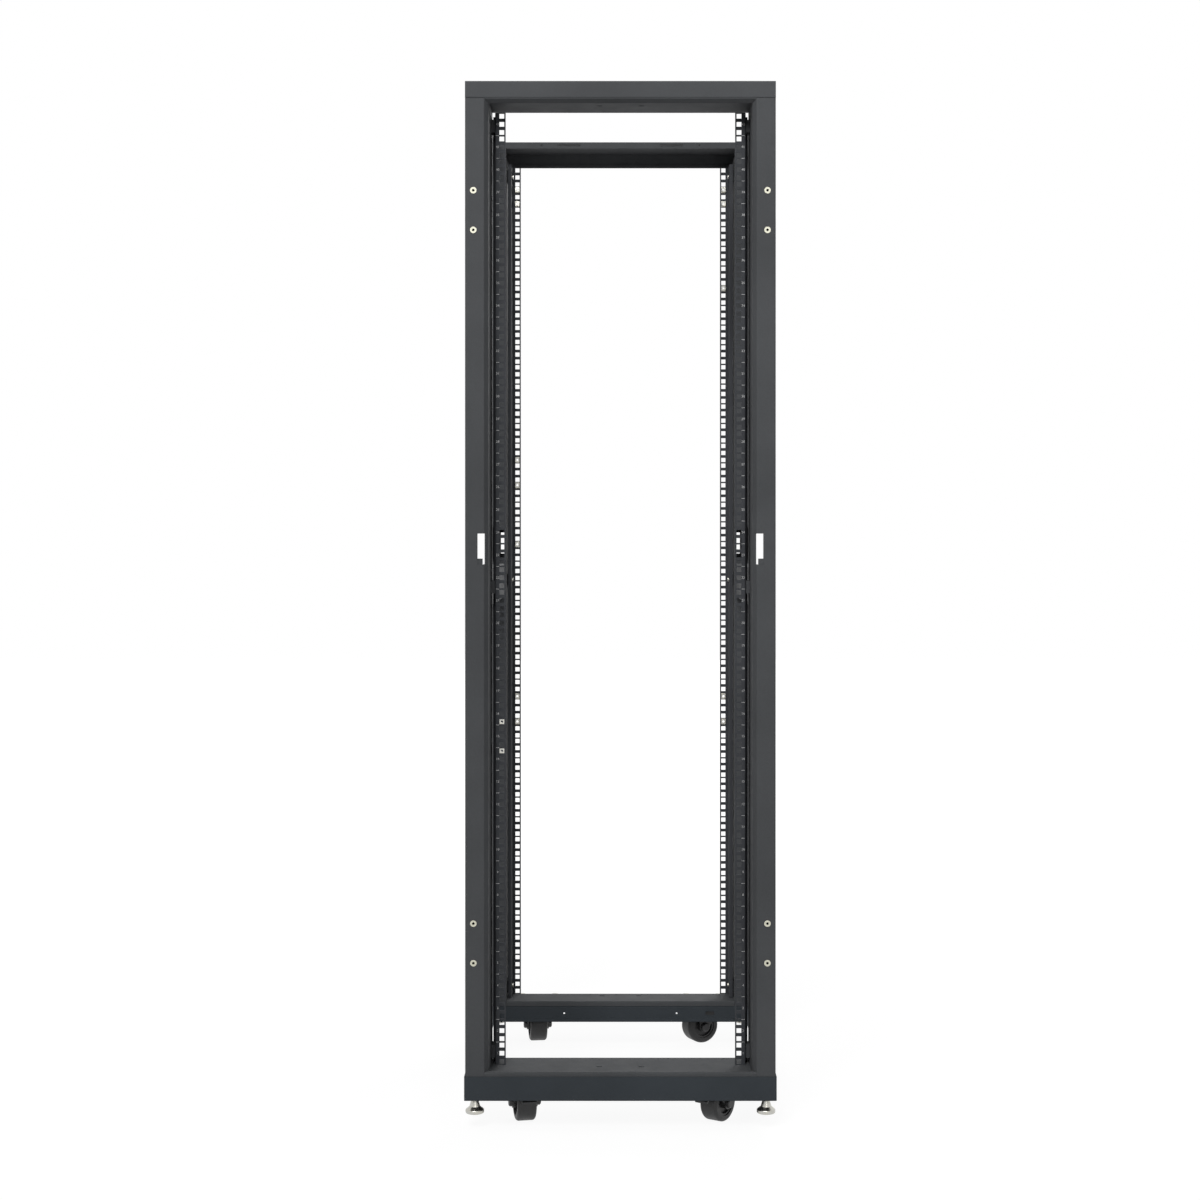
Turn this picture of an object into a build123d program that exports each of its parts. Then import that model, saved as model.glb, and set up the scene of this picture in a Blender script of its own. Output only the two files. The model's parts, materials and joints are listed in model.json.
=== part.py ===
from build123d import *
import math
import os

# An open four-post equipment rack on casters, 42 units high.  Millimetres, +Z up, front towards -Y.
# The origin is on the floor under the middle of the rack.

# ---- Overall sizes -------------------------------------------------------------------------
plinth_width = 600.0
overall_depth = 800.0
sheet = 2.0                    # thickness of every folded sheet
bend_radius = 2.0              # radius of a bend, on the middle of the sheet
contact_gap = 0.1              # between pieces that are pushed together

# ---- Base ----------------------------------------------------------------------------------
web_over_skirt_bottom = 35.0   # top of the base channels over the skirt's lower edge
skirt_over_web = 11.0          # upper edge of the skirt over the base channels
channel_flange = 24.0          # outer flange of a base channel, behind the skirt
hem_height = 7.0
hem_proud = 1.0
cable_notch_inset = 48.0       # ends of the notch, inside the portal's sides
cable_notch_depth = 26.0       # clear slot between the rear web and the rear skirt
rear_skirt_under_web = 7.0     # the rear skirt's edge at the notch, under the base channels' top
side_flange_width = 26.0
base_hole_x = 125.0
base_hole_radius = 2.0
base_hole_over_edge = 19.0     # hole centres over the skirt's lower edge
base_slot_x = 199.0
base_slot_length = 20.0
base_slot_width = 8.0

# ---- Portal frames -------------------------------------------------------------------------
portal_depth = 150.0
upright_face = 36.5            # width of the face seen from the front
ledge_width = 7.5              # sloping ledge from the face back to the inner wall
ledge_depth = 12.0
ledge_start = 0.15             # share of the top bar's ledge that its rounded edge takes
lip_width = 16.0               # lips beside the open back of an upright
top_bar_height = 33.0
rear_bar_lip = 14.5            # inner lip of the rear top bar
rear_bar_hem = 3.0
floor_bar_height = 10.5        # height of the bottom bars over the base web
ridge_height = 9.0             # front ridge over the bottom bar's top
rear_floor_bar_depth = 80.0
rear_bar_slot_set_in = 56.0    # slots behind the rear bottom bar's inner edge
bar_slot_x = 41.0
bar_slot_length = 12.0
bar_slot_width = 6.0
bar_slot_set_back = 77.0
lip_hole_x = 175.0
lip_hole_radius = 2.5
lip_slot_x = 114.0
lip_slot_length = 51.0
lip_slot_width = 5.0
wall_hole_radius = 4.0
wall_hole_set_back = 50.0
wall_hole_from_end = 59.0

# ---- Latches and hinges --------------------------------------------------------------------
frame_middle_offset = 4.0      # door's middle over the middle of the open frame
latch_over_middle = 53.0       # slot centre over the middle of the frame
latch_slot_height = 60.0
latch_slot_width = 12.5
latch_slot_wrap = 5.0
latch_window_height = 75.0     # window in the lips behind the slot
latch_window_lift = 12.0       # its upper end over the slot's
striker_cover = 12.0           # how much of the slot the striker fills
striker_thickness = 6.0
striker_height = 22.0
striker_past_slot = 5.0        # outwards, behind the slot's outer edge
hinge_from_side = 16.0         # nut centre inside the upright's outer side
hinge_pair_pitch = 76.0
hinge_pair_over_base = 267.0   # middle of the lower pair over the upright's foot
hinge_pair_under_top = 215.0   # middle of the upper pair under the upright's head
rivet_bore_radius = 2.5
rivet_body_radius = 4.5
rivet_flange_radius = 6.25
rivet_flange_thickness = 1.0
rivet_length = 13.0

# ---- Depth beams ---------------------------------------------------------------------------
beam_height = 75.0
beam_under_middle = 22.5       # middle beams under the middle of the frame
beam_end_plate = 3.0
top_beam_width = 26.0          # narrower than the middle beams
top_bolt_inset = 7.5
frame_bolt_radius = 3.0
frame_bolt_head_radius = 5.0
frame_bolt_head = 5.0
frame_nut_height = 4.0
bolt_hole_clearance = 0.2

# ---- Mounting rails ------------------------------------------------------------------------
rail_units = 42
unit_height = 44.45
rail_hole_drops = (6.35, 22.225, 38.1)   # hole centres below the top of each unit
rail_hole_size = 9.5
rail_hole_x = 232.55
rail_inner_x = 225.0
rail_outer_x = 245.8
rail_set_back = 93.0           # front rail's face behind the portal's face
rear_rail_set_back = 71.0      # rear rail's face in front of the rear face
rail_depth = 45.0
rail_return = 6.0
rail_head_room = 10.6          # between the rail's end and the top bar
bracket_depth = 32.0
bracket_height = 25.0
bracket_end_inset = 12.0

# Square holes that hold a cage nut: (unit counted from the top, hole in that unit), both from 0.
nuts_front_left = [(26, 2), (28, 0)]
nuts_rear_left = [(1, 0), (1, 2), (14, 2), (16, 0), (19, 0), (26, 2), (28, 0)]
nuts_rear_right = [(1, 0), (1, 2), (6, 0), (26, 2), (28, 0)]
cage_nut_clearance = 0.15
cage_nut_length = 9.0
cage_nut_collar = 0.6          # round collar in front of the rail's face
cage_nut_bore_radius = 2.6
cage_width = 13.0
cage_thickness = 1.2

# ---- Casters -------------------------------------------------------------------------------
caster_from_side = 112.0       # swivel axis inside the portal's side
caster_set_back = 76.0         # swivel axis behind the portal's face
wheel_radius = 37.5
wheel_half_width = 19.0
wheel_edge_radius = 6.0
hub_radius = 26.0
hub_boss_radius = 12.0
hub_boss_proud = 1.2
hub_dish = 5.0
hub_set_in = 2.0               # hub's sides inside the tread's
hub_rim = 4.0
trail = 8.0
running_clearance = 0.08
axle_radius = 6.0
axle_head_radius = 9.5
axle_head = 7.0
axle_chamfer = 2.0
fork_inner = 21.5
fork_thickness = 3.0
fork_end_radius = 12.5
fork_leg_reach = 22.5          # legs either side of the swivel axis, at the crown
crown_radius = 30.0
crown_thickness = 3.0
crown_over_wheel = 1.7
king_pin_radius = 6.0
swivel_gap = 0.3
raceway_height = 9.0
plate_width = 92.0
plate_length = 80.0
plate_thickness = 4.0
plate_corner = 8.0
plate_bolt_x = 37.0
plate_bolt_y = 29.0
plate_bolt_radius = 4.0
plate_bolt_half_flat = 6.5     # half the width across the flats
plate_bolt_head = 5.0
raceway_radius = 29.0
raceway_chamfer = 2.0
caster_turn = {"front_left": 12.0, "front_right": -35.0, "rear_left": 8.0, "rear_right": 117.0}

# ---- Brake pedals (front casters) ----------------------------------------------------------
pedal_pin_in_wheel = 2.5       # pin behind the tread's foremost point
pedal_pin_under_crown = 10.7
pedal_pin_radius = 2.5
pedal_half_width = 14.0
pedal_reach = 25.0
pedal_drop = 18.0
pedal_thickness = 4.0
pedal_knuckle_radius = 4.3     # round the pin
pedal_ear_margin = 5.0         # fork's ears in front of the pin
pedal_ear_drop = 6.0           # and below it

# ---- Levelling feet ------------------------------------------------------------------------
foot_from_side = 17.0          # stud inside the portal's side
foot_set_back = 25.0           # stud behind the portal's face
foot_pad_radius = 18.0
foot_rest_height = 30.0        # pad above the floor, screwed up
foot_flange = 7.0
foot_neck_radius = 10.5        # where the flange has sloped in to the neck
foot_neck_height = 13.0
foot_cone_top_radius = 7.0
foot_pad_height = 25.0
foot_rim_radius = 2.5
foot_stud_radius = 5.0
foot_stud_length = 112.0
foot_stud_clearance = 0.4      # round the stud, in the base channel
foot_socket_depth = 20.0
foot_nut_flat = 8.5            # half the width across the flats
foot_nut_height = 8.0

# ---- Worked out from the sizes above -------------------------------------------------------
corner_relief = bend_radius - sheet / 2 + contact_gap   # clears the inside of a bend
frame_bolt_bore = frame_bolt_radius + bolt_hole_clearance
half_width = plinth_width / 2 - sheet
half_depth = overall_depth / 2 - sheet
inner_y = half_depth - portal_depth
crown_bottom = 2 * wheel_radius + crown_over_wheel
crown_top = crown_bottom + crown_thickness
caster_plate_bottom = crown_top + swivel_gap + raceway_height
web_top = caster_plate_bottom + plate_thickness + sheet
skirt_bottom = web_top - web_over_skirt_bottom
skirt_top = web_top + skirt_over_web
base_hole_z = skirt_bottom + base_hole_over_edge
cable_notch_end = half_width - cable_notch_inset
face_inner_x = half_width - upright_face
wall_x = face_inner_x - ledge_width
floor_bar_top = web_top + floor_bar_height
ridge_top = floor_bar_top + ridge_height
rail_y = half_depth - rail_set_back
rear_rail_shift = rail_set_back - rear_rail_set_back
rail_top = floor_bar_top + rail_units * unit_height
top_bar_bottom = rail_top + rail_head_room
overall_height = top_bar_bottom + top_bar_height
frame_middle = (overall_height + skirt_top) / 2 + frame_middle_offset
latch_height = frame_middle + latch_over_middle
beam_middle = frame_middle - beam_under_middle
hinge_x = half_width - hinge_from_side
middle_beam_width = half_width - wall_x - 2 * sheet
hinge_heights = [
    middle + half * hinge_pair_pitch / 2
    for middle in (web_top + hinge_pair_over_base, top_bar_bottom - hinge_pair_under_top)
    for half in (-1, 1)
]
caster_x = half_width - caster_from_side
caster_y = half_depth - caster_set_back
pedal_pin_y = trail - wheel_radius + pedal_pin_in_wheel
pedal_pin_z = crown_bottom - pedal_pin_under_crown
foot_x = half_width - foot_from_side
foot_y = half_depth - foot_set_back
bracket_heights = [
    floor_bar_top + bracket_end_inset + bracket_height / 2,
    beam_middle,
    rail_top - bracket_end_inset - bracket_height / 2,
]


# ---- Small helpers -------------------------------------------------------------------------
def block(x0, x1, y0, y1, z0, z1):
    """A box between two corners."""
    return Pos((x0 + x1) / 2, (y0 + y1) / 2, (z0 + z1) / 2) * Box(abs(x1 - x0), abs(y1 - y0), abs(z1 - z0))


def rod_x(x0, x1, y, z, radius):
    return Pos((x0 + x1) / 2, y, z) * Rot(0, 90, 0) * Cylinder(radius, abs(x1 - x0))


def rod_y(x, y0, y1, z, radius):
    return Pos(x, (y0 + y1) / 2, z) * Rot(90, 0, 0) * Cylinder(radius, abs(y1 - y0))


def rod_z(x, y, z0, z1, radius):
    return Pos(x, y, (z0 + z1) / 2) * Cylinder(radius, abs(z1 - z0))


def folded_sheet(plane, corners, start, end, radius=bend_radius):
    """A sheet folded along a line of corners in a plane, which runs from start to end across it."""
    section = plane * trace(FilletPolyline(*corners, radius=radius), line_width=sheet)
    return Pos(plane.z_dir * start) * extrude(section, amount=end - start, dir=plane.z_dir)


def opposite(piece):
    """The same piece at the other end of the rack, turned half a turn."""
    return piece.rotate(Axis.Z, 180)


def other_side(piece):
    """The same piece on the other side, as a mirror image."""
    return mirror(piece, about=Plane.YZ)


def four_corners(piece):
    """Copies of a front left piece at all four corners."""
    right = other_side(piece)
    return {
        "front_left": piece,
        "front_right": right,
        "rear_left": opposite(right),
        "rear_right": opposite(piece),
    }


def solids_of(pieces):
    """All the solids of several pieces, as one group."""
    return Compound([solid for piece in pieces for solid in piece.solids()])


# ---- Portal frames -------------------------------------------------------------------------
def upright():
    """Front left upright: a folded sheet section, open at the back between two lips."""
    mid = sheet / 2
    back = -inner_y - mid
    slope = math.hypot(ledge_width, ledge_depth)
    face_corner = mid * (slope - ledge_width) / ledge_depth
    wall_corner = mid * (slope - ledge_depth) / ledge_width
    corners = [
        (-wall_x - sheet - lip_width, back),
        (-wall_x - mid, back),
        (-wall_x - mid, -half_depth + ledge_depth + wall_corner),
        (-face_inner_x - face_corner, -half_depth + mid),
        (-half_width + mid, -half_depth + mid),
        (-half_width + mid, back),
        (-half_width + sheet + lip_width, back),
    ]
    body = folded_sheet(Plane.XY, corners, web_top, top_bar_bottom)
    body -= ledge_mitre(contact_gap)
    slot_bottom = latch_height - latch_slot_height / 2
    slot_top = latch_height + latch_slot_height / 2
    body -= block(
        -face_inner_x - latch_slot_width, -wall_x,
        -half_depth - 1, -half_depth + latch_slot_wrap,
        slot_bottom, slot_top,
    )
    window_top = slot_top + latch_window_lift
    body -= block(
        -half_width + sheet, -wall_x - sheet,
        back - sheet, back + sheet,
        window_top - latch_window_height, window_top,
    )
    for height in hinge_heights:
        body -= rod_y(-hinge_x, -half_depth - 1, -half_depth + sheet + 1, height, rivet_body_radius)
    for height in (web_top + wall_hole_from_end, top_bar_bottom - wall_hole_from_end):
        y = -half_depth + wall_hole_set_back
        body -= rod_x(-wall_x - sheet - 1, -wall_x + 1, y, height, wall_hole_radius)
    for height in bracket_heights:
        for y in (bracket_bolt_y(), bracket_bolt_y() - rear_rail_shift):
            body -= rod_x(-wall_x - sheet - 1, -wall_x + 1, y, height, frame_bolt_bore)
    for x in bolt_lines(middle_beam_width, lip_width / 2):
        body -= rod_y(x, back - sheet, back + sheet, beam_middle, frame_bolt_bore)
    return body


def ledge_mitre(clearance):
    """Wedge above the 45 degree mitre between the ledge of an upright and that of the top bar."""
    outline = Polyline(
        (-wall_x + 1, top_bar_bottom - ledge_width - 1 - clearance),
        (-face_inner_x, top_bar_bottom - clearance),
        (-face_inner_x, top_bar_bottom + 1),
        (-wall_x + 1, top_bar_bottom + 1),
        close=True,
    )
    wedge = extrude(Plane.XZ * make_face(outline), amount=-(ledge_depth + sheet + 1))
    return Pos(0, -half_depth - 0.5, 0) * wedge


def top_ledge():
    """Sloping ledge under the front top bar, with mitred ends."""
    slope = math.hypot(ledge_width, ledge_depth)
    back = sheet * ledge_width / slope
    up = sheet * ledge_depth / slope
    front_y = -half_depth
    section = Polyline(
        (front_y + back, top_bar_bottom + up),
        (front_y + ledge_start * ledge_depth, top_bar_bottom - ledge_start * ledge_width),
        (front_y + ledge_depth, top_bar_bottom - ledge_width),
        (front_y + ledge_depth + back, top_bar_bottom - ledge_width + up),
        close=True,
    )
    plate = extrude(Plane.YZ * make_face(section), amount=face_inner_x + sheet, both=True)
    outline = Polyline(
        (-wall_x + 1, top_bar_bottom - ledge_width - 1),
        (wall_x - 1, top_bar_bottom - ledge_width - 1),
        (face_inner_x + sheet, top_bar_bottom + sheet),
        (-face_inner_x - sheet, top_bar_bottom + sheet),
        close=True,
    )
    between_mitres = extrude(Plane.XZ * make_face(outline), amount=-(ledge_depth + 2 * sheet))
    return plate & Pos(0, front_y - 1, 0) * between_mitres


def front_top_bar():
    """Box section over the front uprights, with a ledge below its face."""
    middle_y = -half_depth + portal_depth / 2
    middle_z = top_bar_bottom + top_bar_height / 2
    outside = RectangleRounded(portal_depth, top_bar_height, bend_radius + sheet / 2)
    inside = RectangleRounded(portal_depth - 2 * sheet, top_bar_height - 2 * sheet, bend_radius - sheet / 2)
    section = Plane.YZ * Pos(middle_y, middle_z) * (outside - inside)
    body = extrude(section, amount=half_width, both=True)
    lid = Plane.YZ * Pos(middle_y, middle_z) * outside
    for side in (-1, 1):
        body += Pos(side * (half_width - sheet / 2), 0, 0) * extrude(lid, amount=sheet / 2, both=True)
    body += top_ledge()
    for x in (-bar_slot_x, bar_slot_x):
        y = -half_depth + bar_slot_set_back
        body -= slot_z(x, y, top_bar_bottom + sheet / 2, bar_slot_length, bar_slot_width)
    return body - beam_bolt_holes(-inner_y)


def rear_top_bar():
    """Channel over the rear uprights, open below, with a short inner lip and a hemmed outer wall."""
    mid = sheet / 2
    corners = [
        (half_depth - mid, top_bar_bottom),
        (half_depth - mid, overall_height - mid),
        (inner_y + mid, overall_height - mid),
        (inner_y + mid, overall_height - rear_bar_lip),
    ]
    body = folded_sheet(Plane.YZ, corners, -half_width, half_width)
    hem_back = half_depth - mid
    body += block(
        -wall_x, wall_x, hem_back - rear_bar_hem, hem_back,
        top_bar_bottom, top_bar_bottom + hem_height,
    )
    for side in (-1, 1):
        outer = side * half_width
        body += block(
            outer, outer - side * sheet, inner_y, half_depth - mid,
            top_bar_bottom, overall_height - mid,
        )
        inner = side * wall_x
        lip_bottom = overall_height - rear_bar_lip
        body += block(inner, outer, inner_y, inner_y + sheet, top_bar_bottom, lip_bottom)
        body += block(inner, outer, inner_y, half_depth - mid, top_bar_bottom, top_bar_bottom + sheet)
        lip_z = overall_height - rear_bar_lip / 2
        body -= rod_y(side * lip_hole_x, inner_y - 1, inner_y + sheet + 1, lip_z, lip_hole_radius)
        body -= slot_y(side * lip_slot_x, inner_y + mid, lip_z, lip_slot_length, lip_slot_width)
    return body - beam_bolt_holes(inner_y)


def slot_z(x, y, z, length, width):
    """Cutter for an upright slot that runs along X."""
    return Pos(x, y, z) * extrude(SlotOverall(length, width), amount=2 * sheet, both=True)


def slot_y(x, y, z, length, width):
    """Cutter through a wall that faces along Y, for a slot that runs along X."""
    return Pos(x, y, z) * extrude(Plane.XZ * SlotOverall(length, width), amount=2 * sheet, both=True)


def front_bottom_bar():
    """Tray between the front uprights, on the base channel, with a raised ridge along its front."""
    mid = sheet / 2
    ridge_back = -half_depth + ledge_depth - mid
    corners = [
        (-half_depth + mid, web_top),
        (-half_depth + mid, ridge_top - mid),
        (ridge_back, ridge_top - mid),
        (ridge_back, floor_bar_top - mid),
        (-inner_y - mid, floor_bar_top - mid),
        (-inner_y - mid, web_top),
    ]
    tray_half = wall_x - contact_gap
    body = folded_sheet(Plane.YZ, corners, -tray_half, tray_half)
    ridge = corners[:4]
    slope_end = Polyline(
        (-wall_x + contact_gap + ledge_width, -half_depth + 2 * ledge_depth),
        (-face_inner_x + contact_gap - ledge_width, -half_depth - ledge_depth),
        (-face_inner_x - ledge_width, -half_depth + 2 * ledge_depth),
        close=True,
    )
    slope_cut = Pos(0, 0, web_top - 1) * extrude(make_face(slope_end), amount=ridge_top - web_top + 2)
    end = folded_sheet(Plane.YZ, ridge, -face_inner_x, -tray_half) - slope_cut
    body += [end, other_side(end)]
    for x in (-bar_slot_x, bar_slot_x):
        y = -half_depth + bar_slot_set_back
        body -= slot_z(x, y, floor_bar_top - mid, bar_slot_length, bar_slot_width)
    return body


def rear_bottom_bar():
    """Narrow inverted channel between the rear uprights, on which the rear rails stand."""
    mid = sheet / 2
    outer_y = inner_y + rear_floor_bar_depth
    corners = [
        (inner_y + mid, web_top),
        (inner_y + mid, floor_bar_top - mid),
        (outer_y - mid, floor_bar_top - mid),
        (outer_y - mid, web_top),
    ]
    tray_half = wall_x - contact_gap
    body = folded_sheet(Plane.YZ, corners, -tray_half, tray_half)
    for x in (-bar_slot_x, bar_slot_x):
        y = inner_y + rear_bar_slot_set_in
        body -= slot_z(x, y, floor_bar_top - mid, bar_slot_length, bar_slot_width)
    return body


# ---- Base ----------------------------------------------------------------------------------
def base_channel():
    """Front base channel: an inverted channel that carries the uprights, casters and feet."""
    mid = sheet / 2
    corners = [
        (-inner_y - mid, skirt_bottom),
        (-inner_y - mid, web_top - mid),
        (-half_depth + mid, web_top - mid),
        (-half_depth + mid, web_top - channel_flange),
    ]
    length = half_width - corner_relief
    body = folded_sheet(Plane.YZ, corners, -length, length)
    body += block(
        -wall_x, wall_x, -inner_y - mid, -inner_y + hem_proud,
        skirt_bottom, skirt_bottom + hem_height,
    )
    for side in (-1, 1):
        body -= rod_y(side * base_hole_x, -inner_y - 3, -inner_y + 3, base_hole_z, base_hole_radius)
        bore = foot_stud_radius + foot_stud_clearance
        body -= rod_z(side * foot_x, -foot_y, web_top - 5, web_top + 5, bore)
        for x, y in plate_bolt_places():
            place = (side * caster_x + x, -caster_y + y)
            body -= rod_z(*place, web_top - 5, web_top + 5, plate_bolt_radius + bolt_hole_clearance)
    body -= slot_y(-base_slot_x, -inner_y - mid, base_hole_z, base_slot_length, base_slot_width)
    return body


def rear_base_channel():
    """Rear base channel: the same, less a cable notch along its outer edge."""
    notch_y = half_depth - cable_notch_depth
    notch = block(
        -cable_notch_end, cable_notch_end, notch_y, half_depth + 1, skirt_bottom, web_top + 1
    )
    return opposite(base_channel()) - notch


def base_skirt():
    """Front plinth skirt, folded round both corners."""
    mid = sheet / 2
    edge = half_width + mid
    front = half_depth + mid
    corners = [(-edge, -inner_y), (-edge, -front), (edge, -front), (edge, -inner_y)]
    return folded_sheet(Plane.XY, corners, skirt_bottom, skirt_top, radius=bend_radius)


def rear_base_skirt():
    """Rear plinth skirt, lower between the uprights where cables come in."""
    notch = block(
        -cable_notch_end, cable_notch_end, half_depth - 1, half_depth + sheet + 1,
        web_top - rear_skirt_under_web, skirt_top + 1,
    )
    return opposite(base_skirt()) - notch


def side_base_rail():
    """Left base rail between the base channels: outer skirt and inward flange."""
    body = block(-half_width - sheet, -half_width, -inner_y, inner_y, skirt_bottom, skirt_top)
    inner = -half_width + side_flange_width
    body += block(-half_width - sheet / 2, inner, -inner_y, inner_y, web_top - sheet, web_top)
    return body


# ---- Depth beams and their bolts -----------------------------------------------------------
def beam(bottom, height, width, bolt_inset):
    """Left depth beam between the portal frames: a channel open outwards, with end plates."""
    mid = sheet / 2
    inner = -half_width + sheet + width - mid
    corners = [
        (-half_width + sheet, bottom + mid),
        (inner, bottom + mid),
        (inner, bottom + height - mid),
        (-half_width + sheet, bottom + height - mid),
    ]
    plane = Plane(origin=(0, 0, 0), x_dir=(1, 0, 0), z_dir=(0, -1, 0))
    reach = inner_y - mid
    body = folded_sheet(plane, corners, -reach, reach)
    for side in (-1, 1):
        ends = sorted((side * inner_y, side * (inner_y - beam_end_plate)))
        body += block(-half_width + sheet, inner + mid, ends[0], ends[1], bottom, bottom + height)
        for x in bolt_lines(width, bolt_inset):
            body -= rod_y(x, ends[0] - 1, ends[1] + 1, bottom + height / 2, frame_bolt_bore)
    return body


def bolt_lines(width, inset):
    """The two bolt lines of a left depth beam, inset from both sides of its width."""
    outer = -half_width + sheet
    return (outer + inset, outer + width - inset)


def beam_bolt_holes(wall_y):
    """Cutters in a top bar's inner wall for the top side beams' bolts."""
    height = top_bar_bottom + top_bar_height / 2
    return [
        rod_y(side * x, wall_y - 2 * sheet, wall_y + 2 * sheet, height, frame_bolt_bore)
        for side in (-1, 1)
        for x in bolt_lines(top_beam_width, top_bolt_inset)
    ]


def frame_bolts():
    """Hex bolts with nuts that hold the depth beams, all four corners."""
    bolts = []
    inner_end = -inner_y + beam_end_plate
    for height, lines in (
        (beam_middle, bolt_lines(middle_beam_width, lip_width / 2)),
        (top_bar_bottom + top_bar_height / 2, bolt_lines(top_beam_width, top_bolt_inset)),
    ):
        for x in lines:
            nut_end = -inner_y - sheet
            shank = rod_y(x, nut_end - frame_bolt_head, inner_end, height, frame_bolt_radius)
            head = hex_y(x, inner_end, inner_end + frame_bolt_head, height, frame_bolt_head_radius)
            nut = hex_y(x, nut_end - frame_nut_height, nut_end, height, frame_bolt_head_radius)
            bolts.extend(four_corners(shank + head + nut).values())
    return solids_of(bolts)


def hex_y(x, y0, y1, z, radius):
    """A hexagonal head or nut along Y."""
    prism = extrude(Plane.XZ * RegularPolygon(radius, 6), amount=-(y1 - y0))
    return Pos(x, y0, z) * prism


def hex_z(x, y, z0, z1, half_flat):
    """A hexagonal head or nut along Z, from half its width across the flats."""
    return Pos(x, y, z0) * extrude(RegularPolygon(half_flat, 6, major_radius=False), amount=z1 - z0)


# ---- Rails ---------------------------------------------------------------------------------
def hole_height(unit, hole):
    """Height of a square hole's centre, from its unit and its place in the unit."""
    return rail_top - unit * unit_height - rail_hole_drops[hole]


def rail_corners(piece):
    """Copies of a front left piece of the rails at all four corners."""
    places = four_corners(piece)
    for corner in ("rear_left", "rear_right"):
        places[corner] = Pos(0, rear_rail_shift, 0) * places[corner]
    return places


def rail():
    """Front left mounting rail: perforated face, side flange and a small outward return."""
    mid = sheet / 2
    back = -rail_y + rail_depth
    corners = [
        (-rail_inner_x, -rail_y + mid),
        (-rail_outer_x + mid, -rail_y + mid),
        (-rail_outer_x + mid, back - mid),
        (-rail_outer_x - rail_return, back - mid),
    ]
    body = folded_sheet(Plane.XY, corners, floor_bar_top, rail_top)
    places = [
        Location((-rail_hole_x, hole_height(unit, hole)))
        for unit in range(rail_units)
        for hole in range(len(rail_hole_drops))
    ]
    holes = Sketch() + [place * Rectangle(rail_hole_size, rail_hole_size) for place in places]
    body -= Pos(0, -rail_y - 1, 0) * extrude(Plane.XZ * holes, amount=-(sheet + 2))
    y = bracket_bolt_y()
    for height in bracket_heights:
        body -= rod_x(-rail_outer_x - 1, -rail_outer_x + sheet + 1, y, height, frame_bolt_bore)
    return body


def bracket_bolt_y():
    """Depth of the bolts that hold a front rail, in the middle of its side flange."""
    return -rail_y + rail_depth / 2


def rail_brackets():
    """Spacer brackets between the rails and the inner walls of the uprights."""
    brackets = []
    for height in bracket_heights:
        y = bracket_bolt_y()
        bracket = block(
            -wall_x, -rail_outer_x, y - bracket_depth / 2, y + bracket_depth / 2,
            height - bracket_height / 2, height + bracket_height / 2,
        )
        bracket -= rod_x(-wall_x - 1, -rail_outer_x + 1, y, height, frame_bolt_bore)
        brackets.extend(rail_corners(bracket).values())
    return solids_of(brackets)


def rail_bolts():
    """Button-headed bolts through rail, bracket and upright, each with its nut."""
    bolts = []
    for height in bracket_heights:
        y = bracket_bolt_y()
        inner = -rail_outer_x + sheet
        outer = -wall_x - sheet
        bolt = rod_x(outer - frame_bolt_head, inner, y, height, frame_bolt_radius)
        bolt += rod_x(inner, inner + frame_bolt_radius, y, height, frame_bolt_head_radius)
        bolt += rod_x(outer - frame_nut_height, outer, y, height, frame_bolt_head_radius)
        bolts.extend(rail_corners(bolt).values())
    return solids_of(bolts)


def cage_nut(unit, hole):
    """A cage nut in a hole of the front left rail: square nut through the face, cage behind it."""
    z = hole_height(unit, hole)
    half = rail_hole_size / 2 - cage_nut_clearance
    face = -rail_y
    nut = block(-rail_hole_x - half, -rail_hole_x + half, face, face + cage_nut_length, z - half, z + half)
    ring = rod_y(-rail_hole_x, face - cage_nut_collar, face + sheet, z, half)
    cage = block(
        -rail_hole_x - half, -rail_hole_x + half, face + sheet, face + sheet + cage_thickness,
        z - cage_width / 2, z + cage_width / 2,
    )
    bore = rod_y(-rail_hole_x, face - 1, face + cage_nut_length + 1, z, cage_nut_bore_radius)
    return nut + ring + cage - bore


def cage_nuts():
    """The cage nuts that are left in the rails."""
    nuts = []
    for corner, places in (
        ("front_left", nuts_front_left),
        ("rear_left", nuts_rear_left),
        ("rear_right", nuts_rear_right),
    ):
        nuts += [rail_corners(cage_nut(*place))[corner] for place in places]
    return solids_of(nuts)


# ---- Hinge nuts and strikers ---------------------------------------------------------------
def rivet_nuts():
    """Threaded rivet nuts for door hinges, in pairs, in the faces of all four uprights."""
    nuts = []
    face = -half_depth
    for height in hinge_heights:
        nut = rod_y(-hinge_x, face, face + rivet_length, height, rivet_body_radius - contact_gap / 2)
        nut += rod_y(-hinge_x, face - rivet_flange_thickness, face, height, rivet_flange_radius)
        nut -= rod_y(-hinge_x, face - 2, face + rivet_length + 1, height, rivet_bore_radius)
        nuts.extend(four_corners(nut).values())
    return solids_of(nuts)


def latch_strikers():
    """Striker plates behind the lower end of each latch slot."""
    top = latch_height - latch_slot_height / 2 + striker_cover
    back = -half_depth + sheet
    striker = block(
        -face_inner_x - latch_slot_width - striker_past_slot, -face_inner_x - sheet - corner_relief,
        back, back + striker_thickness, top - striker_height, top,
    )
    return solids_of(four_corners(striker).values())


# ---- Casters -------------------------------------------------------------------------------
def plate_bolt_places():
    """The four bolts of a caster plate, about its swivel axis."""
    return [(x, y) for x in (-plate_bolt_x, plate_bolt_x) for y in (-plate_bolt_y, plate_bolt_y)]


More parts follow.
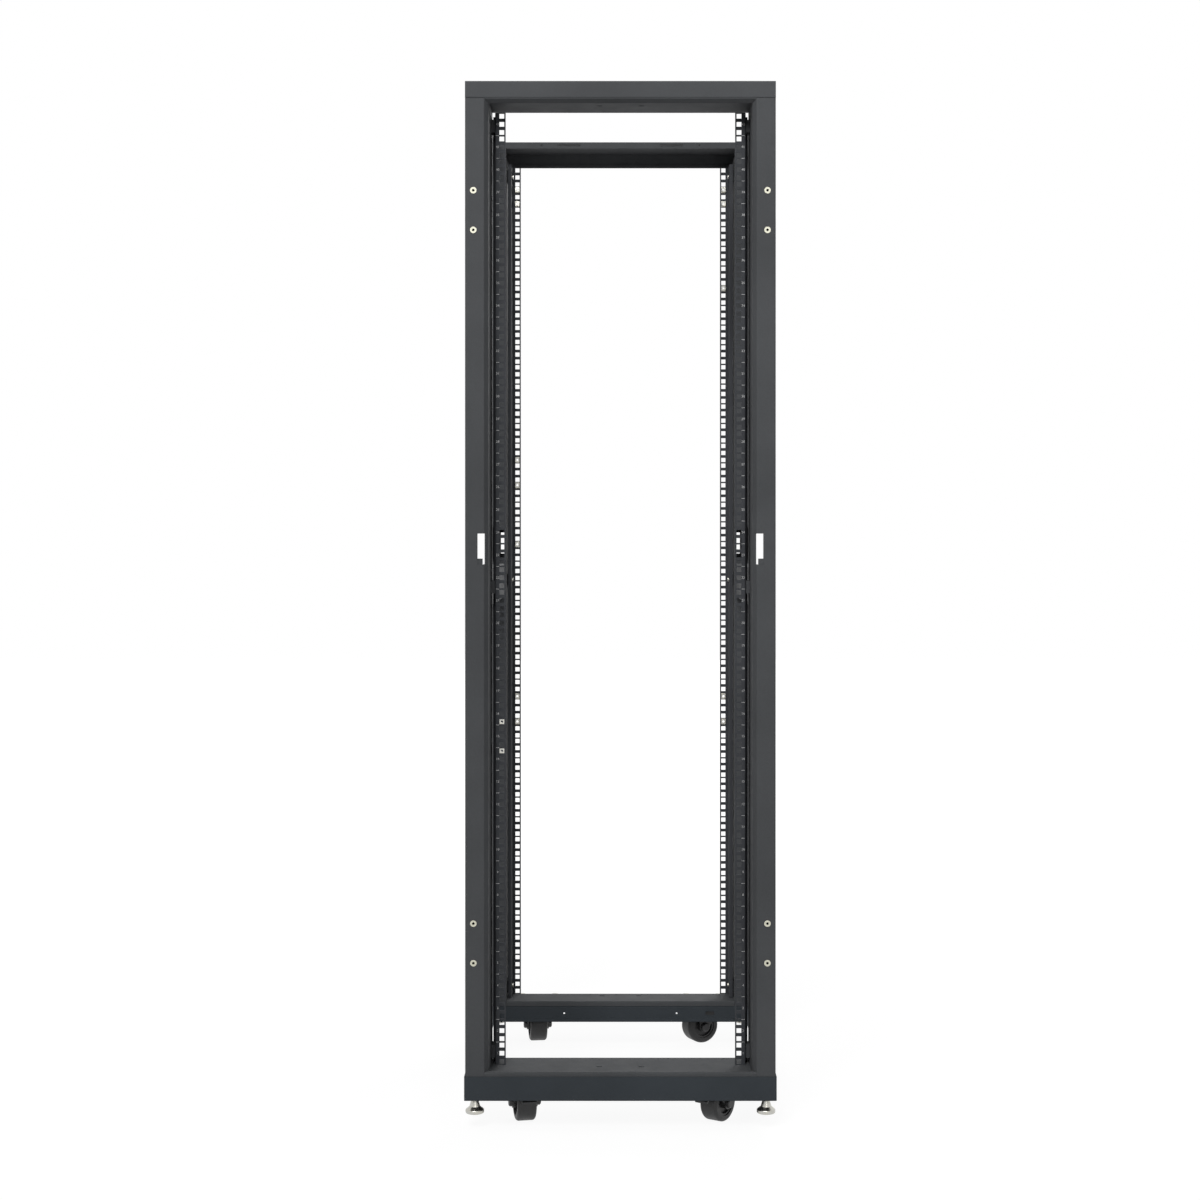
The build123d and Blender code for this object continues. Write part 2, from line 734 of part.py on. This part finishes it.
def caster_plate():
    """Mounting plate with its raceway and king pin, about the swivel axis."""
    outline = RectangleRounded(plate_width, plate_length, plate_corner)
    plate = Pos(0, 0, caster_plate_bottom) * extrude(outline, amount=plate_thickness)
    for x, y in plate_bolt_places():
        plate -= rod_z(x, y, caster_plate_bottom - 1, web_top, plate_bolt_radius + bolt_hole_clearance)
    raceway_bottom = crown_top + swivel_gap
    raceway = rod_z(0, 0, raceway_bottom, caster_plate_bottom, raceway_radius)
    raceway = chamfer(raceway.edges().group_by(Axis.Z)[0], raceway_chamfer)
    return plate + raceway + rod_z(0, 0, crown_bottom, caster_plate_bottom, king_pin_radius)


def caster_fork(with_pedal_ears):
    """Fork about its swivel axis: round crown and two tapering legs, axle along X."""
    crown = rod_z(0, 0, crown_bottom, crown_top, crown_radius)
    crown -= rod_z(0, 0, crown_bottom - 1, crown_top + 1, king_pin_radius + running_clearance)
    ear = pedal_pin_y - pedal_ear_margin if with_pedal_ears else -fork_leg_reach
    leg_top = crown_bottom + crown_thickness / 2
    outline = Polyline(
        (fork_leg_reach, leg_top),
        (ear, leg_top),
        (ear, pedal_pin_z - pedal_ear_drop),
        (trail - fork_end_radius, wheel_radius),
        (trail + fork_end_radius, wheel_radius),
        close=True,
    )
    shape = make_face(outline) + Pos(trail, wheel_radius) * Circle(fork_end_radius)
    leg = extrude(Plane.YZ * shape, amount=fork_thickness)
    fork = crown
    for start in (fork_inner, -fork_inner - fork_thickness):
        fork += Pos(start, 0, 0) * leg
    reach = fork_inner + fork_thickness + 1
    fork -= rod_x(-reach, reach, trail, wheel_radius, axle_radius + bolt_hole_clearance)
    if with_pedal_ears:
        pin_end = fork_inner + fork_thickness / 2
        fork += rod_x(-pin_end, pin_end, pedal_pin_y, pedal_pin_z, pedal_pin_radius)
    return fork


def caster_tyre():
    """Tread ring with rounded edges, axle along X."""
    ring = rod_x(-wheel_half_width, wheel_half_width, trail, wheel_radius, wheel_radius)
    ring = fillet(ring.edges().filter_by(GeomType.CIRCLE), wheel_edge_radius)
    return ring - rod_x(-wheel_half_width - 1, wheel_half_width + 1, trail, wheel_radius, hub_radius)


def caster_hub():
    """Wheel centre: dished on both faces round a boss, bored for the axle."""
    half = wheel_half_width - hub_set_in
    hub = rod_x(-half, half, trail, wheel_radius, hub_radius)
    boss_end = wheel_half_width + hub_boss_proud
    for side in (-1, 1):
        hub -= rod_x(side * (half - hub_dish), side * (half + 1), trail, wheel_radius, hub_radius - hub_rim)
    hub += rod_x(-boss_end, boss_end, trail, wheel_radius, hub_boss_radius)
    bore = axle_radius + running_clearance
    return hub - rod_x(-boss_end - 1, boss_end + 1, trail, wheel_radius, bore)


def caster_axle():
    """Axle sleeve with a domed bolt head at one end and a nut at the other."""
    end = fork_inner + fork_thickness
    axle = rod_x(-end, end, trail, wheel_radius, axle_radius)
    head = rod_x(end, end + axle_head, trail, wheel_radius, axle_head_radius)
    head = chamfer(head.edges().group_by(Axis.X)[-1], axle_chamfer)
    nut = rod_x(-end - axle_head, -end, trail, wheel_radius, axle_head_radius)
    nut = chamfer(nut.edges().group_by(Axis.X)[0], axle_chamfer)
    return axle + head + nut


def brake_pedal():
    """Brake pedal on its pin between the fork legs, reaching out in front of the wheel."""
    tip_y = pedal_pin_y - pedal_reach
    tip_z = pedal_pin_z - pedal_drop
    outline = Polyline(
        (pedal_pin_y, pedal_pin_z + pedal_thickness),
        (tip_y, tip_z + pedal_thickness / 2),
        (tip_y, tip_z - pedal_thickness / 2),
        (pedal_pin_y - 1, pedal_pin_z - pedal_thickness),
        close=True,
    )
    shape = make_face(outline) + Pos(pedal_pin_y, pedal_pin_z) * Circle(pedal_knuckle_radius)
    pedal = Pos(-pedal_half_width, 0, 0) * extrude(Plane.YZ * shape, amount=2 * pedal_half_width)
    end = pedal_half_width + 1
    return pedal - rod_x(-end, end, pedal_pin_y, pedal_pin_z, pedal_pin_radius + running_clearance)


def swivel_axis(corner):
    """Where a caster's swivel axis stands."""
    x = -caster_x if corner.endswith("left") else caster_x
    y = -caster_y if corner.startswith("front") else caster_y
    return (x, y)


def caster_bolts():
    """Bolts and nuts that hold the caster plates under the base channels."""
    bolts = []
    for corner in caster_turn:
        x, y = swivel_axis(corner)
        for across, along in plate_bolt_places():
            at = (x + across, y + along)
            bolt = rod_z(*at, caster_plate_bottom, web_top, plate_bolt_radius)
            head_bottom = caster_plate_bottom - plate_bolt_head
            bolt += hex_z(*at, head_bottom, caster_plate_bottom, plate_bolt_half_flat)
            bolt += hex_z(*at, web_top, web_top + plate_bolt_head, plate_bolt_half_flat)
            bolts.append(bolt)
    return solids_of(bolts)


# ---- Levelling feet ------------------------------------------------------------------------
def levelling_foot():
    """Front left foot, screwed up: a bell-shaped pad and the threaded stud in its socket."""
    bottom = foot_rest_height
    profile = Polyline(
        (0, bottom),
        (foot_pad_radius, bottom),
        (foot_pad_radius, bottom + foot_flange),
        (foot_neck_radius, bottom + foot_neck_height),
        (foot_cone_top_radius, bottom + foot_pad_height),
        (0, bottom + foot_pad_height),
        close=True,
    )
    pad = revolve(Plane.XZ * make_face(profile), Axis.Z)
    rims = pad.edges().filter_by(GeomType.CIRCLE).group_by(Axis.Z)
    pad = fillet(rims[0] + rims[1], foot_rim_radius)
    socket_bottom = bottom + foot_pad_height - foot_socket_depth
    stud_top = socket_bottom + foot_stud_length
    pad -= rod_z(0, 0, socket_bottom, stud_top, foot_stud_radius + contact_gap)
    stud = rod_z(0, 0, socket_bottom, stud_top, foot_stud_radius)
    place = Pos(-foot_x, -foot_y, 0)
    return solids_of([place * pad, place * stud])


def foot_nuts(bottom, height):
    """A threaded nut round each foot's stud."""
    bore = foot_stud_radius + running_clearance
    nut = hex_z(-foot_x, -foot_y, bottom, bottom + height, foot_nut_flat)
    nut -= rod_z(-foot_x, -foot_y, bottom - 1, bottom + height + 1, bore)
    return solids_of(four_corners(nut).values())


# ---- The whole rack ------------------------------------------------------------------------
def all_nodes():
    nodes = {}
    for corner, piece in four_corners(upright()).items():
        nodes[corner + "_upright"] = piece
    for corner, piece in rail_corners(rail()).items():
        nodes[corner + "_rail"] = piece
    for corner, piece in four_corners(levelling_foot()).items():
        nodes[corner + "_levelling_foot"] = piece
    nodes["front_top_bar"] = front_top_bar()
    nodes["rear_top_bar"] = rear_top_bar()
    nodes["front_bottom_bar"] = front_bottom_bar()
    nodes["rear_bottom_bar"] = rear_bottom_bar()
    nodes["front_base_channel"] = base_channel()
    nodes["rear_base_channel"] = rear_base_channel()
    nodes["front_base_skirt"] = base_skirt()
    nodes["rear_base_skirt"] = rear_base_skirt()
    for name, piece in (
        ("base_rail", side_base_rail()),
        ("top_beam", beam(top_bar_bottom, top_bar_height, top_beam_width, top_bolt_inset)),
        ("middle_beam", beam(beam_middle - beam_height / 2, beam_height, middle_beam_width, lip_width / 2)),
    ):
        nodes["left_" + name] = piece
        nodes["right_" + name] = other_side(piece)
    nodes["frame_bolts"] = frame_bolts()
    nodes["rail_brackets"] = rail_brackets()
    nodes["rail_bolts"] = rail_bolts()
    nodes["cage_nuts"] = cage_nuts()
    nodes["hinge_rivet_nuts"] = rivet_nuts()
    nodes["latch_strikers"] = latch_strikers()
    nodes["caster_bolts"] = caster_bolts()
    nodes["foot_weld_nuts"] = foot_nuts(web_top, foot_nut_height)
    nodes["foot_lock_nuts"] = foot_nuts(web_top - sheet - foot_nut_height, foot_nut_height)
    plates = [Pos(*swivel_axis(corner)) * caster_plate() for corner in caster_turn]
    nodes["caster_plates"] = solids_of(plates)
    for corner, turn in caster_turn.items():
        place = Pos(*swivel_axis(corner)) * Rot(0, 0, turn)
        braked = corner.startswith("front")
        nodes[corner + "_fork"] = place * caster_fork(braked)
        nodes[corner + "_tyre"] = place * caster_tyre()
        nodes[corner + "_hub"] = place * caster_hub()
        nodes[corner + "_axle"] = place * caster_axle()
        if braked:
            nodes[corner + "_brake_pedal"] = place * brake_pedal()
    return nodes


os.makedirs("parts", exist_ok=True)
for name, piece in all_nodes().items():
    export_step(piece, "parts/" + name + ".step")
    print(name, len(piece.solids()), round(piece.volume, 1))
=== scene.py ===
"""Looks of an open 42-unit equipment rack on casters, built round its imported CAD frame."""

import json
import math

import bmesh
import bpy
from mathutils import Matrix, Vector


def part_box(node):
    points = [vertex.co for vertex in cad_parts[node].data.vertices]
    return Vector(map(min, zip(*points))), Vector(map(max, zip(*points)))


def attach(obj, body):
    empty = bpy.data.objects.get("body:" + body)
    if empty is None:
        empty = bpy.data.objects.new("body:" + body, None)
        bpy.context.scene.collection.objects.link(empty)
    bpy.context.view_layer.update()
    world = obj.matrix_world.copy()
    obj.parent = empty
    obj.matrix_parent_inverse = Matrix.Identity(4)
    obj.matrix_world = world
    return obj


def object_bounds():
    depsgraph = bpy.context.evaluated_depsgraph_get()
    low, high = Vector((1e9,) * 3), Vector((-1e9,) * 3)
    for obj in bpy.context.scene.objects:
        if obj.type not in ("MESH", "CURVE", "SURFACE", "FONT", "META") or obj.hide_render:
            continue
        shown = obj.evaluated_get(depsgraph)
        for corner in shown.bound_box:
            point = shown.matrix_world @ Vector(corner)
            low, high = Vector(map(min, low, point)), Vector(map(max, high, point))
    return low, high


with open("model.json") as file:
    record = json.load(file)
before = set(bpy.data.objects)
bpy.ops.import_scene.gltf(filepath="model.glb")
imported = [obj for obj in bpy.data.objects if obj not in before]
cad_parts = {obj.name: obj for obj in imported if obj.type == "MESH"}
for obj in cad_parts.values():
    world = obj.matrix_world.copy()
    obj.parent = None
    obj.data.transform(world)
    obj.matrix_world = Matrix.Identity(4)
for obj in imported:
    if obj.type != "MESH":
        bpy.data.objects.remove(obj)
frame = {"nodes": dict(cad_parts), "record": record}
cad_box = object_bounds()
nodes = frame["nodes"]
bodies = {name: body for body, names in frame["record"]["behaviour"]["bodies"].items() for name in names}

CORNERS = ("front_left", "front_right", "rear_left", "rear_right")
MM = 0.001

# Sockets of a Mix node that mixes colours.
MIX_FACTOR = 0
MIX_A = 6
MIX_B = 7
MIX_COLOUR = 2


def add_object(name, data):
    """A new object in the scene that holds some data."""
    piece = bpy.data.objects.new(name, data)
    bpy.context.scene.collection.objects.link(piece)
    return piece


# ---- Shader helpers --------------------------------------------------------------------------
def new_material(name):
    """An empty node material with its output and a Principled shader wired up."""
    material = bpy.data.materials.new(name)
    material.use_nodes = True
    tree = material.node_tree
    tree.nodes.clear()
    output = tree.nodes.new("ShaderNodeOutputMaterial")
    shader = tree.nodes.new("ShaderNodeBsdfPrincipled")
    tree.links.new(shader.outputs["BSDF"], output.inputs["Surface"])
    return material, tree, shader


def noise(tree, coords, scale, detail=2.0, roughness=0.5):
    """Values of a noise with so many cells to the metre."""
    node = tree.nodes.new("ShaderNodeTexNoise")
    node.inputs["Scale"].default_value = scale
    node.inputs["Detail"].default_value = detail
    node.inputs["Roughness"].default_value = roughness
    tree.links.new(coords, node.inputs["Vector"])
    return node.outputs["Fac"]


def ramp(tree, value, low, high, out_low, out_high):
    """A value mapped from one range to another, held inside it."""
    node = tree.nodes.new("ShaderNodeMapRange")
    node.inputs["From Min"].default_value = low
    node.inputs["From Max"].default_value = high
    node.inputs["To Min"].default_value = out_low
    node.inputs["To Max"].default_value = out_high
    tree.links.new(value, node.inputs["Value"])
    return node.outputs["Result"]


def maths(tree, operation, first, second=None):
    """One maths operation on one or two linked values."""
    node = tree.nodes.new("ShaderNodeMath")
    node.operation = operation
    tree.links.new(first, node.inputs[0])
    if second is not None:
        tree.links.new(second, node.inputs[1])
    return node.outputs["Value"]


def mix_colours(tree, factor, first, second):
    """A linked factor's mix of two fixed colours."""
    node = tree.nodes.new("ShaderNodeMix")
    node.data_type = "RGBA"
    node.inputs[MIX_A].default_value = (*first, 1)
    node.inputs[MIX_B].default_value = (*second, 1)
    tree.links.new(factor, node.inputs[MIX_FACTOR])
    return node.outputs[MIX_COLOUR]


def multiply_colours(tree, first, second):
    """The product of two linked colours."""
    node = tree.nodes.new("ShaderNodeMix")
    node.data_type = "RGBA"
    node.blend_type = "MULTIPLY"
    node.inputs[MIX_FACTOR].default_value = 1.0
    tree.links.new(first, node.inputs[MIX_A])
    tree.links.new(second, node.inputs[MIX_B])
    return node.outputs[MIX_COLOUR]


def bump(tree, height, distance, strength, normal=None):
    """A normal that follows a linked height, over another normal where one is given."""
    node = tree.nodes.new("ShaderNodeBump")
    node.inputs["Distance"].default_value = distance
    node.inputs["Strength"].default_value = strength
    tree.links.new(height, node.inputs["Height"])
    if normal is not None:
        tree.links.new(normal, node.inputs["Normal"])
    return node.outputs["Normal"]


def place_coords(tree):
    """Coordinates in metres, fixed to the piece."""
    return tree.nodes.new("ShaderNodeTexCoord").outputs["Object"]


# ---- Materials -------------------------------------------------------------------------------
NUT_FLANGE = 0.6 * MM     # flange of a rivet nut in front of the upright's face, kept clear of the painted shade
BORE_SHADE_EDGE = 0.3 * MM      # over which the nut's colour falls off into the shade painted inside its hole


def powder_coat(name, colour, gloss=0.68, edge_radius=0.0007, grain=1100.0, depth=0.00006):
    """Satin powder coat: fine orange-peel grain, slow tone drift and softly rounded edges."""
    material, tree, shader = new_material(name)
    coords = place_coords(tree)
    drift = noise(tree, coords, 3.5, detail=3.0)
    speck = noise(tree, coords, grain * 0.8, detail=2.0)
    light = tuple(c * 1.10 for c in colour)
    dark = tuple(c * 0.90 for c in colour)
    base = mix_colours(tree, ramp(tree, drift, 0.35, 0.65, 0, 1), dark, light)
    fleck = mix_colours(tree, ramp(tree, speck, 0.3, 0.7, 0, 1), (0.90, 0.90, 0.90), (1.08, 1.08, 1.08))
    tree.links.new(multiply_colours(tree, base, fleck), shader.inputs["Base Color"])
    scuff = noise(tree, coords, 24.0, detail=5.0, roughness=0.65)
    tree.links.new(ramp(tree, scuff, 0.3, 0.7, gloss - 0.05, gloss + 0.07), shader.inputs["Roughness"])
    peel = noise(tree, coords, grain, detail=1.0)
    edge = tree.nodes.new("ShaderNodeBevel")
    edge.samples = 4
    edge.inputs["Radius"].default_value = edge_radius
    normal = bump(tree, peel, depth, 0.35, edge.outputs["Normal"])
    tree.links.new(normal, shader.inputs["Normal"])
    shader.inputs["Specular IOR Level"].default_value = 0.12
    return material


def zinc_plate(name, colour=(0.52, 0.52, 0.50), gloss=0.26):
    """Bright zinc plating with fine turning marks and cloudy passivation."""
    material, tree, shader = new_material(name)
    coords = place_coords(tree)
    cloud = noise(tree, coords, 160.0, detail=4.0)
    warm = tuple(c * f for c, f in zip(colour, (1.0, 0.97, 0.88)))
    tone = mix_colours(tree, ramp(tree, cloud, 0.35, 0.65, 0, 1), colour, warm)
    tree.links.new(tone, shader.inputs["Base Color"])
    shader.inputs["Metallic"].default_value = 1.0
    marks = noise(tree, coords, 2600.0, detail=2.0)
    tree.links.new(ramp(tree, cloud, 0.3, 0.7, gloss - 0.06, gloss + 0.12), shader.inputs["Roughness"])
    tree.links.new(bump(tree, marks, 0.00003, 0.4), shader.inputs["Normal"])
    return material


def passivated_zinc(name, face_depth, cream=(0.62, 0.61, 0.50), bore_shade=(0.012, 0.012, 0.010)):
    """Cream passivated rivet nuts: cream on the flange, with shade painted near black down their holes
    behind the face.
    """
    material, tree, shader = new_material(name)
    coords = place_coords(tree)
    split = tree.nodes.new("ShaderNodeSeparateXYZ")
    tree.links.new(coords, split.inputs["Vector"])
    depth = maths(tree, "ABSOLUTE", split.outputs["Y"])
    # Painted shade: behind the flange the nut's colour goes to near black, standing in for the shade inside
    # the hole.
    bore_shade_fade = ramp(tree, depth, face_depth, face_depth + BORE_SHADE_EDGE, 0, 1)
    tree.links.new(mix_colours(tree, bore_shade_fade, bore_shade, cream), shader.inputs["Base Color"])
    cloud = noise(tree, coords, 900.0, detail=3.0)
    tree.links.new(ramp(tree, cloud, 0.3, 0.7, 0.42, 0.58), shader.inputs["Roughness"])
    tree.links.new(bump(tree, cloud, 0.00003, 0.3), shader.inputs["Normal"])
    shader.inputs["Metallic"].default_value = 0.35
    return material


def black_steel(name, colour=(0.018, 0.018, 0.019), gloss=0.34):
    """Black passivated pressed steel, slightly uneven."""
    material, tree, shader = new_material(name)
    coords = place_coords(tree)
    patch = noise(tree, coords, 60.0, detail=4.0)
    lighter = tuple(c * 1.6 for c in colour)
    tone = mix_colours(tree, ramp(tree, patch, 0.4, 0.7, 0, 1), colour, lighter)
    tree.links.new(tone, shader.inputs["Base Color"])
    tree.links.new(ramp(tree, patch, 0.3, 0.7, gloss, gloss + 0.14), shader.inputs["Roughness"])
    tree.links.new(bump(tree, noise(tree, coords, 900.0), 0.00005, 0.3), shader.inputs["Normal"])
    return material


def moulded_tread(name):
    """Hard polyurethane tread: near black, fine mould texture, dusty where it rolls."""
    material, tree, shader = new_material(name)
    coords = place_coords(tree)
    dust = noise(tree, coords, 90.0, detail=6.0, roughness=0.7)
    tone = mix_colours(tree, ramp(tree, dust, 0.5, 0.75, 0, 1), (0.014, 0.014, 0.015), (0.030, 0.030, 0.029))
    tree.links.new(tone, shader.inputs["Base Color"])
    tree.links.new(ramp(tree, dust, 0.3, 0.7, 0.38, 0.6), shader.inputs["Roughness"])
    tree.links.new(bump(tree, noise(tree, coords, 1400.0), 0.00006, 0.4), shader.inputs["Normal"])
    return material


def moulded_plastic(name, colour, gloss=0.45):
    """Moulded nylon with a fine spark-eroded grain."""
    material, tree, shader = new_material(name)
    coords = place_coords(tree)
    grain = noise(tree, coords, 1800.0, detail=2.0)
    lighter = tuple(c * 1.25 for c in colour)
    tone = mix_colours(tree, ramp(tree, grain, 0.3, 0.7, 0, 1), colour, lighter)
    tree.links.new(tone, shader.inputs["Base Color"])
    tree.links.new(ramp(tree, grain, 0.2, 0.8, gloss - 0.05, gloss + 0.08), shader.inputs["Roughness"])
    tree.links.new(bump(tree, grain, 0.00004, 0.3), shader.inputs["Normal"])
    return material


def screen_print(name):
    """White screen print, a little thin and uneven over the paint's grain."""
    material, tree, shader = new_material(name)
    coords = place_coords(tree)
    wear = noise(tree, coords, 1500.0, detail=3.0)
    tone = mix_colours(tree, ramp(tree, wear, 0.3, 0.6, 0, 1), (0.42, 0.42, 0.42), (0.62, 0.62, 0.62))
    tree.links.new(tone, shader.inputs["Base Color"])
    shader.inputs["Roughness"].default_value = 0.6
    tree.links.new(bump(tree, wear, 0.00003, 0.3), shader.inputs["Normal"])
    return material


materials = {
    "frame_paint": powder_coat("frame_powder_coat", (0.070, 0.073, 0.077)),
    "rail_paint": powder_coat("rail_powder_coat", (0.053, 0.056, 0.062), gloss=0.62),
    "base_paint": powder_coat("base_powder_coat", (0.041, 0.048, 0.055), edge_radius=0.0025),
    "zinc": zinc_plate("zinc_plate"),
    "caster_steel": black_steel("black_steel"),
    "tread": moulded_tread("moulded_tread"),
    "hub_plastic": moulded_plastic("hub_nylon", (0.022, 0.022, 0.023)),
    "print": screen_print("screen_print"),
}

# The rivet nuts get cream zinc with painted shade down their holes.
nut_zinc_and_bore_shade = passivated_zinc("passivated_zinc", -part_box("front_left_upright")[0].y + NUT_FLANGE)

for part in frame["record"]["subparts"]:
    node = nodes[part["node"]]
    node.data.materials.clear()
    rivet_nuts = part["node"] == "hinge_rivet_nuts"
    node.data.materials.append(nut_zinc_and_bore_shade if rivet_nuts else materials[part["material_slot"]])


# ---- Unit marks on the rails -----------------------------------------------------------------
UNIT = 44.45 * MM
UNITS = 42
TICK_THICKNESS = 0.8 * MM
TICK_WIDTH = 6.2 * MM
TICK_INSET = 2.0 * MM
PRINT_LIFT = 0.05 * MM
DIGIT_HEIGHT = 4.6 * MM
DIGIT_SHARE = 0.7         # a digit's height as a share of its font size
RAIL_FACE_EDGE = 245.8 * MM    # a rail's face is narrower than its box, which holds its return too


def print_mesh(name, bm, body):
    """Finishes a printed piece: its mesh, its white ink and the body it rides on."""
    mesh = bpy.data.meshes.new(name)
    bm.to_mesh(mesh)
    bm.free()
    piece = add_object(name, mesh)
    mesh.materials.append(materials["print"])
    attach(piece, body)
    return piece


def digits_mesh(number):
    """The outline of a number as a flat mesh, DIGIT_HEIGHT tall, centred on its origin."""
    curve = bpy.data.curves.new("digits", "FONT")
    curve.body = str(number)
    curve.size = DIGIT_HEIGHT / DIGIT_SHARE
    curve.align_x = "CENTER"
    curve.align_y = "CENTER"
    curve.resolution_u = 2
    curve.extrude = PRINT_LIFT / 2
    holder = add_object("digits", curve)
    mesh = bpy.data.meshes.new_from_object(holder)
    bpy.data.objects.remove(holder)
    return mesh


def add_box(bm, low, high):
    """A closed box between two corners, added to a bmesh."""
    centre = (low + high) / 2
    size = high - low
    matrix = Matrix.Translation(centre) @ Matrix.Diagonal((size.x, size.y, size.z, 1))
    bmesh.ops.create_cube(bm, size=1.0, matrix=matrix)


def unit_marks(corner, digit_meshes):
    """Tick lines at every unit and a number between them, on the outward face of one rail."""
    low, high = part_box(corner + "_rail")
    front = corner.startswith("front")
    facing = -1 if front else 1
    side = -1 if corner.endswith("left") else 1
    face = low.y if front else high.y
    outer = side * (RAIL_FACE_EDGE - TICK_INSET)
    inner = outer - side * TICK_WIDTH
    left, right = sorted((outer, inner))
    near, far = sorted((face, face + facing * PRINT_LIFT))
    bm = bmesh.new()
    for unit in range(1, UNITS):
        bottom = low.z + unit * UNIT - TICK_THICKNESS / 2
        add_box(bm, Vector((left, near, bottom)), Vector((right, far, bottom + TICK_THICKNESS)))
    turn = Matrix.Rotation(math.pi / 2, 4, "X")
    if not front:
        turn = Matrix.Rotation(math.pi, 4, "Z") @ turn
    for unit, mesh in enumerate(digit_meshes):
        z = low.z + (unit + 0.5) * UNIT
        spot = Matrix.Translation(((left + right) / 2, (near + far) / 2, z))
        start = len(bm.verts)
        bm.from_mesh(mesh)
        bm.verts.ensure_lookup_table()
        bmesh.ops.transform(bm, matrix=spot @ turn, verts=bm.verts[start:])
    return print_mesh(corner + "_unit_marks", bm, bodies[corner + "_rail"])


digit_meshes = [digits_mesh(number + 1) for number in range(UNITS)]
for corner in CORNERS:
    unit_marks(corner, digit_meshes)


# ---- Floor, light and camera -----------------------------------------------------------------
FLOOR_REACH = 14.0
FLOOR_GLOW = 1.15         # strength of the floor's own white
SHADOW_REACH = (1.2, 3.5)      # distances over which the floor goes from shadowed to plain white
WHITE_SHARE = (0.8, 1.0)       # share of the floor's own white at those distances
AMBIENT = 0.16
CAMERA_DISTANCE = 4.05
CAMERA_HEIGHT = 1.161
CAMERA_TILT = 0.13        # degrees below level


def seen_directly(tree):
    """1 for rays from the camera, off a polished surface or through glass, 0 for scattered light."""
    path = tree.nodes.new("ShaderNodeLightPath")
    total = path.outputs["Is Camera Ray"]
    for ray in ("Is Glossy Ray", "Is Transmission Ray"):
        total = maths(tree, "MAXIMUM", total, path.outputs[ray])
    return total


def white_floor():
    """A pale floor that shows as plain white and keeps a faint shadow round the rack."""
    material, tree, shader = new_material("floor_white")
    shader.inputs["Base Color"].default_value = (0.6, 0.6, 0.6, 1)
    shader.inputs["Roughness"].default_value = 0.9
    glow = tree.nodes.new("ShaderNodeEmission")
    glow.inputs["Color"].default_value = (1, 1, 1, 1)
    glow.inputs["Strength"].default_value = FLOOR_GLOW
    distance = tree.nodes.new("ShaderNodeVectorMath")
    distance.operation = "LENGTH"
    tree.links.new(place_coords(tree), distance.inputs[0])
    white = ramp(tree, distance.outputs["Value"], *SHADOW_REACH, *WHITE_SHARE)
    share = maths(tree, "MULTIPLY", white, seen_directly(tree))
    blend = tree.nodes.new("ShaderNodeMixShader")
    tree.links.new(share, blend.inputs[0])
    tree.links.new(shader.outputs["BSDF"], blend.inputs[1])
    tree.links.new(glow.outputs["Emission"], blend.inputs[2])
    output = next(n for n in tree.nodes if n.type == "OUTPUT_MATERIAL")
    tree.links.new(blend.outputs["Shader"], output.inputs["Surface"])
    mesh = bpy.data.meshes.new("floor")
    reach = FLOOR_REACH
    corners = [(-reach, -reach, 0), (reach, -reach, 0), (reach, reach, 0), (-reach, reach, 0)]
    mesh.from_pydata(corners, [], [(0, 1, 2, 3)])
    mesh.materials.append(material)
    floor = add_object("floor", mesh)


def studio_world():
    """Even grey surroundings that show as white to the camera and in reflections."""
    world = bpy.data.worlds.new("studio")
    world.use_nodes = True
    tree = world.node_tree
    tree.nodes.clear()
    output = tree.nodes.new("ShaderNodeOutputWorld")
    background = tree.nodes.new("ShaderNodeBackground")
    strength = ramp(tree, seen_directly(tree), 0, 1, AMBIENT, 1.0)
    background.inputs["Color"].default_value = (1, 1, 1, 1)
    tree.links.new(strength, background.inputs["Strength"])
    tree.links.new(background.outputs["Background"], output.inputs["Surface"])
    bpy.context.scene.world = world


def soft_lamp(name, place, target, size, power):
    """A rectangular area lamp that faces its target."""
    lamp = bpy.data.lights.new(name, "AREA")
    lamp.shape = "RECTANGLE"
    lamp.size = size[0]
    lamp.size_y = size[1]
    lamp.energy = power
    piece = add_object(name, lamp)
    piece.location = place
    direction = Vector(target) - Vector(place)
    piece.rotation_euler = direction.to_track_quat("-Z", "Y").to_euler()


def studio_camera():
    """Nearly level view of the front, from just over half the rack's height."""
    camera = bpy.data.cameras.new("camera")
    camera.lens = 63.4
    camera.sensor_width = 36.0
    camera.shift_x = -0.0170
    camera.shift_y = -0.0570
    piece = add_object("camera", camera)
    piece.location = (0, cad_box[0][1] - CAMERA_DISTANCE, CAMERA_HEIGHT)
    piece.rotation_euler = (math.radians(90 - CAMERA_TILT), 0, 0)
    bpy.context.scene.camera = piece


white_floor()
studio_world()
soft_lamp("key", (-0.9, -4.4, 4.0), (0, 0, 1.0), (1.8, 1.8), 165)
soft_lamp("fill", (0.9, -4.6, 1.3), (0, 0, 0.9), (1.6, 1.6), 14)
soft_lamp("back", (1.6, 4.6, 3.2), (0, 0, 1.0), (2.2, 2.2), 95)
soft_lamp("top", (0, -0.4, 4.6), (0, 0, 1.0), (2.4, 2.4), 26)
studio_camera()
bpy.context.scene.view_settings.view_transform = "Standard"
